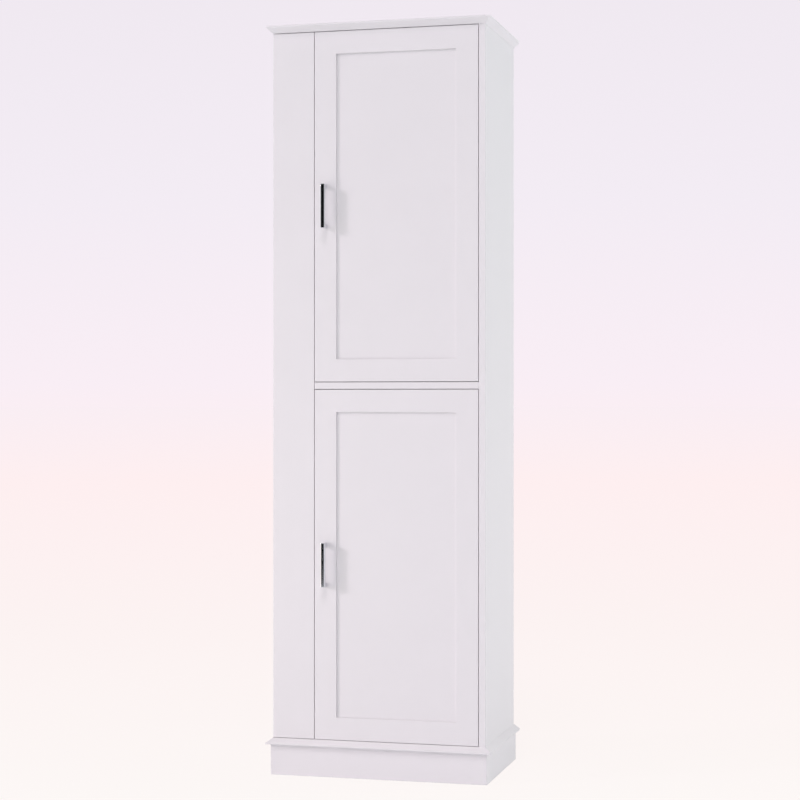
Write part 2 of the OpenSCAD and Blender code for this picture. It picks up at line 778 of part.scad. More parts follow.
module hinge_arm() {
    difference() {
        union() {
            for (side = [-1, 1])
                translate([0, 0, side > 0 ? cheek_gap : -cheek_gap - cheek_t]) {
                    linear_extrude(cheek_t) polygon(arm_side);
                    translate([arm_pin[0], arm_pin[1], 0]) cylinder(r = arm_eye_r, h = cheek_t);
                }
            translate([0, 0, -cheek_gap - eps]) linear_extrude(2 * (cheek_gap + eps)) polygon(arm_web);
        }
        translate([arm_pin[0], arm_pin[1], -link_w]) cylinder(d = arm_pin_d + 2 * eps, h = 2 * link_w);
        at_arm_screws() translate([0, 0, -eps]) cylinder(d = arm_screw_d + 2 * screw_play, h = web_t + 2 * eps);
    }
}

module hinge_arms() { color("silver") seated() for (which = [LOWER, UPPER]) at_hinges(which) hinge_arm(); }

module hinge_pins() {
    l = 2 * (cheek_gap + cheek_t + pin_stand);
    color("gray") seated() for (which = [LOWER, UPPER])
        at_hinges(which) translate([arm_pin[0], arm_pin[1], -l / 2]) cylinder(d = arm_pin_d, h = l);
}

module hinge_plate() {
    difference() {
        union() {
            block([door_gap - plate_base, plate_back - plate_half_w, -plate_half_h],
                [door_gap, plate_back + plate_half_w, plate_half_h]);
            block([arm_low, plate_back - plate_block_front, -cheek_gap - cheek_t],
                [door_gap, plate_back + plate_block_rear, cheek_gap + cheek_t]);
        }
        at_arm_screws() translate([0, 0, arm_h - eps])
            cylinder(d = arm_screw_d + 2 * screw_play, h = arm_screw_in + bore_spare);
        for (end = [-1, 1])
            translate([door_gap - plate_base - eps, plate_back, end * plate_screw_span / 2])
                bar_x(screw_d + 2 * screw_play, plate_base + 2 * eps);
    }
}

module hinge_plates() { color("silver") seated() for (which = [LOWER, UPPER]) at_hinges(which) hinge_plate(); }

module arm_screws() {
    color("gray") seated() for (which = [LOWER, UPPER]) at_hinges(which) at_arm_screws() difference() {
        union() {
            cylinder(d = arm_screw_d, h = arm_h + arm_screw_in);
            translate([0, 0, -arm_screw_head_t]) cylinder(d = arm_screw_head_d, h = arm_screw_head_t);
        }
        translate([0, 0, -arm_screw_head_t]) cross_slot(recess_span, recess_w, recess_h);
    }
}

module plate_screws() {
    color("gray") seated() at_plate_screws() translate([-plate_base, 0, 0]) rotate([0, 90, 0])
        pan_screw(plate_screw_l + plate_base - bore_spare);
}

// ---------- doors ----------
// Each door is drawn from its lower left corner: x across, y from the front face back, z up.

module at_door(which) { seated() translate([door_left, 0, door_z(which)]) children(); }

groove_y = panel_face - groove_play;
handle_hole_play = 0.5;
handle_screw_in = 9;                               // how far a screw goes into the handle's foot
handle_head_h = 2.2;

// an upright of the door frame, grooved along the edge at the given side (1 right, -1 left)
module door_stile(side) {
    groove_x = side > 0 ? frame_w - groove_d : -eps;
    difference() {
        cube([frame_w, door_t, door_h]);
        translate([groove_x, groove_y, -eps]) cube([groove_d + eps, groove_w, door_h + 2 * eps]);
    }
}

module handle_stile(which) {
    color("white") at_door(which) difference() {
        door_stile(1);
        at_handle_screws() translate([0, -eps, 0]) bar_y(handle_screw_d + handle_hole_play, door_t + 2 * eps);
    }
}

module hinge_stile(which) {
    color("white") difference() {
        at_door(which) translate([door_w - frame_w, 0, 0]) door_stile(-1);
        seated() at_hinges(which) cup_bore();
    }
}

// a cross rail with a tongue on each end and a groove for the panel along one edge
module door_rail(which, at_top) {
    z = at_top ? door_h - frame_w : 0;
    groove_z = at_top ? -eps : frame_w - groove_d;
    color("white") at_door(which) translate([frame_w, 0, z]) {
        difference() {
            union() {
                cube([rail_l, door_t, frame_w]);
                translate([-tongue_l, panel_face, 0]) cube([rail_l + 2 * tongue_l, panel_t, frame_w]);
            }
            translate([-groove_d, groove_y, groove_z])
                cube([rail_l + 2 * groove_d, groove_w, groove_d + eps]);
        }
    }
}

module door_panel(which) {
    color("white") at_door(which)
        translate([frame_w - tongue_l, panel_face, frame_w - tongue_l])
            cube([rail_l + 2 * tongue_l, panel_t, door_h - 2 * frame_w + 2 * tongue_l]);
}

// places children at the handle's two screws, on the front face of the door
module at_handle_screws() {
    for (end = [-1, 1]) translate([frame_w / 2, 0, door_h / 2 + end * handle_cc / 2]) children();
}

module handle(which) {
    half = handle_bar / 2;
    color("silver") at_door(which) difference() {
        union() {
            translate([frame_w / 2 - half, -handle_proj, (door_h - handle_cc) / 2 - half])
                cube([handle_bar, handle_bar, handle_cc + handle_bar]);
            at_handle_screws() translate([-half, -handle_proj, -half])
                cube([handle_bar, handle_proj, handle_bar]);
        }
        at_handle_screws() translate([0, eps, 0]) rotate([180, 0, 0])
            bar_y(handle_screw_d + 2 * screw_play, handle_screw_in + bore_spare);
    }
}

module handle_screws(which) {
    color("gray") at_door(which) at_handle_screws() difference() {
        union() {
            translate([0, -handle_screw_in, 0]) bar_y(handle_screw_d, handle_screw_in + door_t);
            translate([0, door_t, 0]) bar_y(2 * handle_screw_d, handle_head_h);
        }
        translate([0, door_t + handle_head_h, 0]) rotate([90, 0, 0])
            cross_slot(recess_span, recess_w, recess_h);
    }
}

side_panel_left();
side_panel_right();
front_stile();
top_board();
bottom_panel();
fixed_shelf();
adjustable_shelf(UPPER, 1);  // upper_shelf_1
adjustable_shelf(UPPER, 2);  // upper_shelf_2
adjustable_shelf(LOWER, 1);  // lower_shelf_1
adjustable_shelf(LOWER, 2);  // lower_shelf_2
shelf_pin_set(UPPER);  // upper_shelf_pins
shelf_pin_set(LOWER);  // lower_shelf_pins
back_panel_upper();
back_panel_lower();
back_nails();
plinth_front();
plinth_left();
plinth_right();
plinth_rear();
cap_front();
cap_left();
cap_right();
corner_blocks();
dowels();
cam_locks();
cam_bolts();
wall_bracket();
bracket_screws();
door_stops();
stop_screws();
hinge_plates();
hinge_arms();
hinge_pins();
arm_screws();
plate_screws();
hinge_links(UPPER);  // upper_hinge_links
hinge_links(LOWER);  // lower_hinge_links
hinge_stile(UPPER);  // upper_hinge_stile
handle_stile(UPPER);  // upper_handle_stile
door_rail(UPPER, true);  // upper_top_rail
door_rail(UPPER, false);  // upper_bottom_rail
door_panel(UPPER);  // upper_door_panel
hinge_cups(UPPER);  // upper_hinge_cups
cup_screw_set(UPPER);  // upper_cup_screws
handle(UPPER);  // upper_handle
handle_screws(UPPER);  // upper_handle_screws
hinge_stile(LOWER);  // lower_hinge_stile
handle_stile(LOWER);  // lower_handle_stile
door_rail(LOWER, true);  // lower_top_rail
door_rail(LOWER, false);  // lower_bottom_rail
door_panel(LOWER);  // lower_door_panel
hinge_cups(LOWER);  // lower_hinge_cups
cup_screw_set(LOWER);  // lower_cup_screws
handle(LOWER);  // lower_handle
handle_screws(LOWER);  // lower_handle_screws
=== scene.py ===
"""Looks of a tall white pantry cabinet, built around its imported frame."""

import json
import math

import bmesh
import bpy
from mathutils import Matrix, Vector

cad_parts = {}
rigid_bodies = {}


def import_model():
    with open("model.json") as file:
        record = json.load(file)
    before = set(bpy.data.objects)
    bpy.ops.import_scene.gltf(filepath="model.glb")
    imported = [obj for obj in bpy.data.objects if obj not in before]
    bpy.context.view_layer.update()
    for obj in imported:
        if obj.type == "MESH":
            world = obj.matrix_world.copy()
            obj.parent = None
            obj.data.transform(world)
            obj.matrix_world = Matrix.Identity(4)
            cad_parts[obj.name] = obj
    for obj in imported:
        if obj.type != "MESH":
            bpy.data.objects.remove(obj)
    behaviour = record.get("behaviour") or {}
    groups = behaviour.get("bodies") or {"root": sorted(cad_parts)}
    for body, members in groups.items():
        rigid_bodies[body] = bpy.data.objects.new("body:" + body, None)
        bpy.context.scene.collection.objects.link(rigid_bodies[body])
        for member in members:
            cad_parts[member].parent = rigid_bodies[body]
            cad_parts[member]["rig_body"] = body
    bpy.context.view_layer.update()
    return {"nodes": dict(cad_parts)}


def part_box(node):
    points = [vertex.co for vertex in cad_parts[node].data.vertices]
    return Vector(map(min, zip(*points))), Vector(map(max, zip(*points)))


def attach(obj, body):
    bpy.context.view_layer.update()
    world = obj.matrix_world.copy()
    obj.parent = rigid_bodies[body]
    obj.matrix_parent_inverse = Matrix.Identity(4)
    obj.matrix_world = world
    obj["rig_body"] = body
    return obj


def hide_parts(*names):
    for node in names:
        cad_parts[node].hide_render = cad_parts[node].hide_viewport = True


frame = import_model()

MM = 0.001

# ---------------------------------------------------------------- sizes of the finish

BOARD_EASE = 0.6 * MM            # rounding that the lacquer leaves on boards and door frames
MOULDING_EASE = 0.3 * MM
PANEL_EASE = 0.2 * MM            # on the hardboard of the back
SHEET_EASE = 0.15 * MM           # on pressed steel
LINK_EASE = 0.075 * MM           # on the hinges' links, which are thinner
HANDLE_EASE = 1.4 * MM
HANDLE_SEGMENTS = 4
BLOCK_EASE = 0.5 * MM
STOP_EASE = 0.3 * MM
BOARD_RIM = 4 * MM               # longer than any facet of a drilled hole's rim in the boards
CUP_RIM = 5 * MM                 # the same for the wide bores of the hinge cups
SEAM = 1.2 * MM                  # shows between the middle shelf's edge and the fixed front board

CORNER_MERGE = 0.002 * MM        # corners this close are one corner
JOINT_MERGE = 0.01 * MM          # the same where two members were joined
FLAT_ANGLE = math.radians(0.5)   # faces that turn less make one flat face
SMOOTH_ANGLE = math.radians(32)  # edges that turn more look sharp
BEVEL_ANGLE = math.radians(40)   # edges that turn more are rounded

# ---------------------------------------------------------------- small tools


def linear(hex_colour):
    """A linear RGBA colour from an sRGB hex value."""
    rgb = [int(hex_colour[i:i + 2], 16) / 255 for i in (0, 2, 4)]
    return [c / 12.92 if c <= 0.04045 else ((c + 0.055) / 1.055) ** 2.4 for c in rgb] + [1.0]


def add(tree, kind, settings=None, links=None):
    """Adds a node: settings are its properties or input values, links are its inputs' sources."""
    node = tree.nodes.new(kind)
    for name, value in (settings or {}).items():
        if isinstance(name, str) and hasattr(node, name):
            setattr(node, name, value)
        else:
            node.inputs[name].default_value = value
    for name, source in (links or {}).items():
        tree.links.new(source, node.inputs[name])
    return node


def clear_tree(owner):
    """The emptied node tree of a material or a world."""
    owner.use_nodes = True
    owner.node_tree.nodes.clear()
    return owner.node_tree


def new_object(name, data):
    """A new object in the scene, at the origin."""
    made = bpy.data.objects.new(name, data)
    bpy.context.scene.collection.objects.link(made)
    return made


# ---------------------------------------------------------------- materials


def new_material(name, values):
    """A material with its tree, its shader set to some values, and the place on the object."""
    material = bpy.data.materials.new(name)
    tree = clear_tree(material)
    shader = add(tree, "ShaderNodeBsdfPrincipled", values)
    add(tree, "ShaderNodeOutputMaterial", links={"Surface": shader.outputs["BSDF"]})
    place = add(tree, "ShaderNodeTexCoord").outputs["Object"]
    return material, tree, shader, place


def clouds(tree, place, size, detail):
    """A pattern of soft spots that are about as wide as a real size."""
    return add(tree, "ShaderNodeTexNoise", {"Scale": 1 / size, "Detail": detail},
               {"Vector": place}).outputs["Fac"]


def colour_by(tree, shader, pattern, dark, light):
    """Lets the colour wander between two values."""
    tint = add(tree, "ShaderNodeMix", {"data_type": "RGBA"}, {"Factor": pattern})
    tint.inputs["A"].default_value = linear(dark)
    tint.inputs["B"].default_value = linear(light)
    tree.links.new(tint.outputs["Result"], shader.inputs["Base Color"])


def roughness_by(tree, shader, pattern, low, high):
    """Lets the gloss wander between two roughnesses."""
    gloss = add(tree, "ShaderNodeMapRange", {"To Min": low, "To Max": high}, {"Value": pattern})
    tree.links.new(gloss.outputs["Result"], shader.inputs["Roughness"])


def relief_by(tree, shader, pattern, strength, depth):
    """Gives the surface a fine relief of a real depth."""
    bump = add(tree, "ShaderNodeBump", {"Strength": strength, "Distance": depth},
               {"Height": pattern})
    tree.links.new(bump.outputs["Normal"], shader.inputs["Normal"])


def satin_lacquer():
    """White satin lacquer sprayed on fibreboard: even and smooth, with a fine orange peel that only
    shows in the gloss, and a very slight unevenness of the coat."""
    material, tree, shader, place = new_material("satin_white_lacquer", {"IOR": 1.5})
    peel = clouds(tree, place, 1.6 * MM, detail=2)
    coat = clouds(tree, place, 90 * MM, detail=3)
    colour_by(tree, shader, coat, "EBE8EB", "EDEAED")
    roughness_by(tree, shader, coat, 0.36, 0.46)
    relief_by(tree, shader, peel, strength=0.05, depth=0.02 * MM)
    return material


def faced_hardboard():
    """White-faced hardboard: a thin printed foil, matt, with a faint pressed mottle."""
    material, tree, shader, place = new_material("white_faced_hardboard", {"Roughness": 0.6})
    mottle = clouds(tree, place, 5 * MM, detail=4)
    colour_by(tree, shader, mottle, "DDDAD9", "E5E2E1")
    relief_by(tree, shader, mottle, strength=0.15, depth=0.05 * MM)
    return material


def polished_chrome():
    """Polished chrome plate: mirror-bright, with the faintest haze from handling."""
    material, tree, shader, place = new_material(
        "polished_chrome", {"Base Color": linear("E6E6EA"), "Metallic": 1.0})
    haze = clouds(tree, place, 14 * MM, detail=5)
    roughness_by(tree, shader, haze, 0.04, 0.11)
    return material


def plated_steel(name, colour, low, high, grain):
    """Pressed steel under a thin plating: grey metal with a soft, slightly uneven shine."""
    material, tree, shader, place = new_material(
        name, {"Base Color": linear(colour), "Metallic": 1.0})
    cloud = clouds(tree, place, grain, detail=4)
    roughness_by(tree, shader, cloud, low, high)
    relief_by(tree, shader, cloud, strength=0.1, depth=0.03 * MM)
    return material


FLECK_L = 9 * MM                 # along the dowel
FLECK_W = 1 * MM


def beech_wood():
    """Turned beech of a dowel: pale pinkish brown, with fine short flecks along the grain."""
    material, tree, shader, place = new_material("turned_beech", {"Roughness": 0.55})
    grain = add(tree, "ShaderNodeMapping", {"Scale": (1 / FLECK_L, 1 / FLECK_W, 1 / FLECK_W)},
                {"Vector": place})
    fleck = clouds(tree, grain.outputs[0], 1, detail=3)      # the mapping has set the real size
    colour_by(tree, shader, fleck, "B98F62", "D9B68C")
    return material


def moulded_nylon():
    """White nylon as it leaves the mould: slightly creamy and dull, with a fine even grain."""
    material, tree, shader, place = new_material(
        "moulded_white_nylon", {"Base Color": linear("E4E3DE"), "Roughness": 0.5})
    relief_by(tree, shader, clouds(tree, place, 0.5 * MM, detail=2), strength=0.2, depth=0.03 * MM)
    return material


# each finish is a material and the slot of the CAD model that it belongs to
LACQUER = satin_lacquer(), "white_paint"
NYLON = moulded_nylon(), "white_nylon"
HARDBOARD = faced_hardboard(), "white_hardboard"
CHROME = polished_chrome(), "chrome_plate"
NICKEL = plated_steel("nickel_plated_steel", "B9B6B0", 0.16, 0.30, 6 * MM), "nickel_steel"
ZINC = plated_steel("zinc_plated_steel", "A9ACB0", 0.28, 0.45, 3 * MM), "nickel_steel"
BEECH = beech_wood(), "beech"

# ---------------------------------------------------------------- making pieces


def finish_piece(piece, finish, *nodes):
    """Gives a piece its finish, hangs it on the body that it rides on and hides the CAD nodes that
    it stands for.
    """
    material, slot = finish
    piece.data.materials.clear()
    piece.data.materials.append(material)
    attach(piece, frame["nodes"][nodes[0]]["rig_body"])
    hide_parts(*nodes)


def apply_modifiers(piece):
    """Turns a piece and its modifiers into a plain mesh."""
    graph = bpy.context.evaluated_depsgraph_get()
    mesh = bpy.data.meshes.new_from_object(piece.evaluated_get(graph))
    piece.modifiers.clear()
    piece.data = mesh


def ease_edges(piece, width, segments=2, shortest=0.0):
    """Rounds the sharp edges a little and shades the rest smooth. Where a shortest length is given,
    only outer edges of at least that length are rounded; the rims of drilled holes stay sharp."""
    work = bmesh.new()
    work.from_mesh(piece.data)
    weight = work.edges.layers.float.new("bevel_weight_edge")
    for edge in work.edges:
        sharp = len(edge.link_faces) == 2 and edge.calc_face_angle() > BEVEL_ANGLE
        eased = not shortest or (edge.is_convex and edge.calc_length() >= shortest)
        edge[weight] = 1.0 if sharp and eased else 0.0
    work.to_mesh(piece.data)
    work.free()
    bevel = piece.modifiers.new("eased_edges", "BEVEL")
    bevel.width = width
    bevel.segments = segments
    bevel.limit_method = "WEIGHT"
    bevel.loop_slide = False
    bevel.use_clamp_overlap = False
    bevel.miter_outer = "MITER_ARC"
    shading = piece.modifiers.new("flat_faces_stay_flat", "WEIGHTED_NORMAL")
    shading.mode = "FACE_AREA"
    shading.weight = 100
    shading.keep_sharp = True
    apply_modifiers(piece)


def join_flat_faces(work, distance):
    """Merges corners that lie together and dissolves the edges within flat faces."""
    bmesh.ops.remove_doubles(work, verts=work.verts, dist=distance)
    bmesh.ops.dissolve_limit(work, angle_limit=FLAT_ANGLE, verts=work.verts, edges=work.edges)


def merged_copy(node):
    """A clean copy of a CAD node's mesh."""
    work = bmesh.new()
    work.from_mesh(frame["nodes"][node].data)
    join_flat_faces(work, CORNER_MERGE)
    for face in work.faces:
        face.smooth = True
    fresh = bpy.data.meshes.new(node + "_dressed")
    work.to_mesh(fresh)
    work.free()
    fresh.set_sharp_from_angle(angle=SMOOTH_ANGLE)
    return fresh


def dress(node, finish, width=0.0, segments=2, shortest=0.0):
    """Replaces a CAD node by the same shape with eased edges and its finish."""
    piece = new_object("finished_" + node, merged_copy(node))
    if width:
        ease_edges(piece, width, segments, shortest)
    finish_piece(piece, finish, node)


# ---------------------------------------------------------------- the case and its fittings

for board in ("side_panel_left", "side_panel_right", "front_stile", "top_board", "bottom_panel",
              "upper_shelf_1", "upper_shelf_2", "lower_shelf_1", "lower_shelf_2",
              "plinth_front", "plinth_left", "plinth_right", "plinth_rear"):
    dress(board, LACQUER, BOARD_EASE, shortest=BOARD_RIM)


def middle_shelf():
    """The fixed shelf, cut back a little beside the fixed front board, where a fine seam shows."""
    mesh = merged_copy("fixed_shelf")
    board_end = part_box("front_stile")[1]
    for vert in mesh.vertices:
        if abs(vert.co.x - board_end.x) < 2 * SEAM and vert.co.y < board_end.y + SEAM:
            vert.co.x = board_end.x + SEAM
    piece = new_object("finished_fixed_shelf", mesh)
    ease_edges(piece, BOARD_EASE, shortest=BOARD_RIM)
    finish_piece(piece, LACQUER, "fixed_shelf")


middle_shelf()
for moulding in ("cap_front", "cap_left", "cap_right"):
    dress(moulding, LACQUER, MOULDING_EASE)
for sheet in ("back_panel_upper", "back_panel_lower"):
    dress(sheet, HARDBOARD, PANEL_EASE, segments=1, shortest=BOARD_RIM)
for link in ("upper_hinge_links", "lower_hinge_links"):
    dress(link, NICKEL, LINK_EASE)
for pressing in ("hinge_plates", "hinge_arms", "upper_hinge_cups", "lower_hinge_cups",
                 "wall_bracket"):
    dress(pressing, NICKEL, SHEET_EASE)
for fixing in ("cam_locks", "cam_bolts", "bracket_screws", "stop_screws", "plate_screws",
               "arm_screws", "hinge_pins", "upper_cup_screws", "lower_cup_screws",
               "upper_handle_screws", "lower_handle_screws"):
    dress(fixing, ZINC)
dress("corner_blocks", BEECH, BLOCK_EASE)
dress("door_stops", NYLON, STOP_EASE)

# ---------------------------------------------------------------- repeated pieces


def solid_boxes(node):
    """The low and high corners of each separate solid of a CAD node."""
    mesh = merged_copy(node)
    work = bmesh.new()
    work.from_mesh(mesh)
    bpy.data.meshes.remove(mesh)
    seen, boxes = set(), []
    for start in work.verts:
        if start.index in seen:
            continue
        seen.add(start.index)
        solid = [start]
        for vert in solid:                 # the list grows while it is walked
            for edge in vert.link_edges:
                other = edge.other_vert(vert)
                if other.index not in seen:
                    seen.add(other.index)
                    solid.append(other)
        boxes.append(tuple(Vector([pick(vert.co[axis] for vert in solid) for axis in range(3)])
                           for pick in (min, max)))
    work.free()
    return sorted(boxes, key=lambda box: tuple(box[0]))


def lofted(name, rings):
    """A closed mesh through rings of points, each given with its place along X."""
    work = bmesh.new()
    loops = [[work.verts.new((x, y, z)) for y, z in ring] for x, ring in rings]
    count = len(loops[0])
    for here, there in zip(loops, loops[1:]):
        for i in range(count):
            work.faces.new((here[i], here[(i + 1) % count], there[(i + 1) % count], there[i]))
    work.faces.new(loops[0])
    work.faces.new(loops[-1])
    bmesh.ops.recalc_face_normals(work, faces=work.faces)
    for face in work.faces:
        face.smooth = True
    mesh = bpy.data.meshes.new(name)
    work.to_mesh(mesh)
    work.free()
    mesh.set_sharp_from_angle(angle=SMOOTH_ANGLE)
    return mesh


def circle(radius, facets, flute=0.0):
    """A ring of points; every other point of a fluted one lies deeper."""
    ring = []
    for i in range(facets):
        reach = radius - flute * (i % 2)
        angle = 2 * math.pi * i / facets
        ring.append((reach * math.cos(angle), reach * math.sin(angle)))
    return ring


def repeat_tree():
    """Geometry nodes that set one pattern at many places, each turned a little on its own axis."""
    tree = bpy.data.node_groups.new("repeated_pieces", "GeometryNodeTree")
    for name, kind in (("Places", "Geometry"), ("Pattern", "Object"), ("Looseness", "Float"),
                       ("Seed", "Int"), ("Finish", "Material")):
        tree.interface.new_socket(name, in_out="INPUT", socket_type="NodeSocket" + kind)
    tree.interface.new_socket("Pieces", in_out="OUTPUT", socket_type="NodeSocketGeometry")
    given = add(tree, "NodeGroupInput").outputs
    pattern = add(tree, "GeometryNodeObjectInfo", {}, {"Object": given["Pattern"]})
    turn = add(tree, "GeometryNodeInputNamedAttribute",
               {"data_type": "FLOAT_VECTOR", "Name": "turn"})
    size = add(tree, "GeometryNodeInputNamedAttribute",
               {"data_type": "FLOAT_VECTOR", "Name": "size"})
    way = add(tree, "FunctionNodeEulerToRotation", {}, {0: turn.outputs["Attribute"]})
    copies = add(tree, "GeometryNodeInstanceOnPoints", {},
                 {"Points": given["Places"], "Instance": pattern.outputs["Geometry"],
                  "Rotation": way.outputs[0], "Scale": size.outputs["Attribute"]})
    chance = add(tree, "FunctionNodeRandomValue", {"data_type": "FLOAT"}, {"Seed": given["Seed"]})
    spin = add(tree, "ShaderNodeMath", {"operation": "MULTIPLY"},
               {0: chance.outputs[1], 1: given["Looseness"]})
    about = add(tree, "ShaderNodeCombineXYZ", {}, {"X": spin.outputs[0]})
    spun = add(tree, "GeometryNodeRotateInstances", {},
               {"Instances": copies.outputs["Instances"], "Rotation": about.outputs[0]})
    made = add(tree, "GeometryNodeRealizeInstances", {}, {"Geometry": spun.outputs[0]})
    done = add(tree, "GeometryNodeSetMaterial", {},
               {"Geometry": made.outputs[0], "Material": given["Finish"]})
    add(tree, "NodeGroupOutput", {}, {"Pieces": done.outputs[0]})
    return tree


REPEAT = repeat_tree()
REPEAT_SEED = 7
QUARTER = math.pi / 2
PLAIN = (1.0, 1.0, 1.0)          # the size of a copy that keeps the pattern's own


def repeat(node, mesh, places, finish, looseness=0.0):
    """Replaces a CAD node by copies of a mesh. A place is a point, a turn and a size, and the
    looseness is how far, in radians, chance may turn a copy on its axis."""
    pattern = new_object(node + "_pattern", mesh)
    points = bpy.data.meshes.new(node + "_places")
    points.from_pydata([tuple(point) for point, turn, size in places], [], [])
    for name, column in (("turn", 1), ("size", 2)):
        values = points.attributes.new(name, "FLOAT_VECTOR", "POINT")
        for index, place in enumerate(places):
            values.data[index].vector = place[column]
    piece = new_object("finished_" + node, points)
    nodes = piece.modifiers.new("repeated_pieces", "NODES")
    nodes.node_group = REPEAT
    inputs = {"Pattern": pattern, "Looseness": looseness, "Seed": REPEAT_SEED,
              "Finish": finish[0]}
    for socket in REPEAT.interface.items_tree:
        if socket.name in inputs:
            nodes[socket.identifier] = inputs[socket.name]
    apply_modifiers(piece)
    bpy.data.objects.remove(pattern)
    finish_piece(piece, finish, node)


NAIL_FACETS = 20
NAIL_HEAD = 0.8 * MM             # thickness of the head
NAIL_SHANK = 0.9 * MM            # radius
NAIL_POINT = 2.4 * MM
NAIL_TIP = 0.12                  # share of the shank's radius that the point keeps
RINGS = 5
RING_START = 0.8 * MM            # from the head's underside
RING_PITCH = 0.7 * MM
RING_W = 0.2 * MM                # of each flank
RING_DEPTH = 0.88                # the shank's share that a ring leaves
# the head's rolled edge: heights, and shares of its radius
HEAD_ROLL = ((0.06 * MM, 0.35), (0.0, 0.8), (0.12 * MM, 0.96), (0.3 * MM, 1.0),
             (NAIL_HEAD - 0.2 * MM, 1.0), (NAIL_HEAD, 0.9))


def nail(length, head, shank):
    """A nail along X: a flat head with a rolled edge, a ringed neck and a pointed tip."""
    profile = [(x, share * head) for x, share in HEAD_ROLL] + [(NAIL_HEAD, shank)]
    for ring in range(RINGS):
        start = NAIL_HEAD + RING_START + RING_PITCH * ring
        profile += [(start, shank), (start + RING_W, RING_DEPTH * shank),
                    (start + 2 * RING_W, shank)]
    profile += [(length - NAIL_POINT, shank), (length, NAIL_TIP * shank)]
    return lofted("nail", [(x, circle(radius, NAIL_FACETS)) for x, radius in profile])


def back_nails():
    """The nails of the back panels, driven in along -Y."""
    boxes = solid_boxes("back_nails")
    places = [(((low.x + high.x) / 2, high.y, (low.z + high.z) / 2), (0, 0, -QUARTER), PLAIN)
              for low, high in boxes]
    low, high = boxes[0]
    pattern = nail(high.y - low.y, (high.x - low.x) / 2, NAIL_SHANK)
    repeat("back_nails", pattern, places, ZINC, looseness=math.pi)


DOWEL_FACETS = 36
DOWEL_CHAMFER = 1.2 * MM
DOWEL_TIP = 0.8                  # share of the radius that the chamfer leaves
FLUTE = 0.35 * MM                # depth of the flutes
TIP_FLUTE = 0.2                  # share of that depth at the tips
WAYS = ((0, 0, 0), (0, 0, QUARTER), (0, -QUARTER, 0))    # turns that lay X along X, Y and Z


def dowel(length, radius):
    """A dowel along X, fluted all round, with chamfered ends."""
    half = length / 2
    tip = circle(radius * DOWEL_TIP, DOWEL_FACETS, FLUTE * TIP_FLUTE)
    body = circle(radius, DOWEL_FACETS, FLUTE)
    return lofted("dowel", [(-half, tip), (-half + DOWEL_CHAMFER, body),
                            (half - DOWEL_CHAMFER, body), (half, tip)])


def dowels():
    """All dowels are as long as each other; thinner ones are the same pattern made narrower."""
    places = []
    boxes = solid_boxes("dowels")
    widest = max(min(high - low) for low, high in boxes)
    for low, high in boxes:
        size = high - low
        longest = max(range(3), key=lambda axis: size[axis])
        scale = min(size) / widest
        places.append(((low + high) / 2, WAYS[longest], (1.0, scale, scale)))
    low, high = boxes[-1]
    repeat("dowels", dowel(max(high - low), widest / 2), places, BEECH, looseness=math.pi)


PIN_FACETS = 32
PEG_R = 2.5 * MM
PEG_L = 8.5 * MM
PEG_CHAMFER = 0.6 * MM
COLLAR_R = 4 * MM
COLLAR_T = 0.9 * MM
TONGUE_L = 7 * MM
TONGUE_TOP = 3.3 * MM            # above the peg's axis
TONGUE_ROUND = 0.5 * MM
PIN_EDGE = 0.15 * MM             # rounding on the collar and the tongue


def tongue(shrink=0.0):
    """The tongue's outline: half a circle below, straight sides and a flat top with rounded
    corners."""
    ring = []
    corner = TONGUE_TOP - TONGUE_ROUND
    for y, z in circle(1, PIN_FACETS):
        if z <= 0:
            ring.append(((PEG_R - shrink) * y, (PEG_R - shrink) * z))
            continue
        reach = min(PEG_R / abs(y) if y else math.inf, TONGUE_TOP / z)
        y, z = y * reach, z * reach
        if abs(y) > PEG_R - TONGUE_ROUND and z > corner:
            middle = Vector((math.copysign(PEG_R - TONGUE_ROUND, y), corner))
            y, z = middle + (Vector((y, z)) - middle).normalized() * TONGUE_ROUND
        ring.append((y * (1 - shrink / PEG_R), z * (1 - shrink / TONGUE_TOP)))
    return ring


def shelf_pin():
    """A pin along X: a peg with a chamfered tip, a thin collar and a tongue under the shelf."""
    peg = circle(PEG_R, PIN_FACETS)
    peg_tip = circle(PEG_R - PEG_CHAMFER, PIN_FACETS)
    collar = circle(COLLAR_R, PIN_FACETS)
    collar_face = circle(COLLAR_R - PIN_EDGE, PIN_FACETS)
    return lofted("shelf_pin", [
        (PEG_L, peg_tip), (PEG_L - PEG_CHAMFER, peg), (0, peg),
        (0, collar_face), (-PIN_EDGE, collar), (PIN_EDGE - COLLAR_T, collar),
        (-COLLAR_T, collar_face), (-COLLAR_T, tongue()), (2 * PIN_EDGE - TONGUE_L, tongue()),
        (-TONGUE_L, tongue(2 * PIN_EDGE))])


def shelf_pins(node):
    """The pins of one bay's shelves; those in the left-hand side panel point the other way."""
    places = []
    for low, high in solid_boxes(node):
        right = low.x > 0
        seat = high.x - PEG_L if right else low.x + PEG_L
        places.append(((seat, (low.y + high.y) / 2, low.z + COLLAR_R),
                       (0, 0, 0 if right else math.pi), PLAIN))
    repeat(node, shelf_pin(), places, NICKEL)


back_nails()
dowels()
shelf_pins("upper_shelf_pins")
shelf_pins("lower_shelf_pins")

# ---------------------------------------------------------------- doors


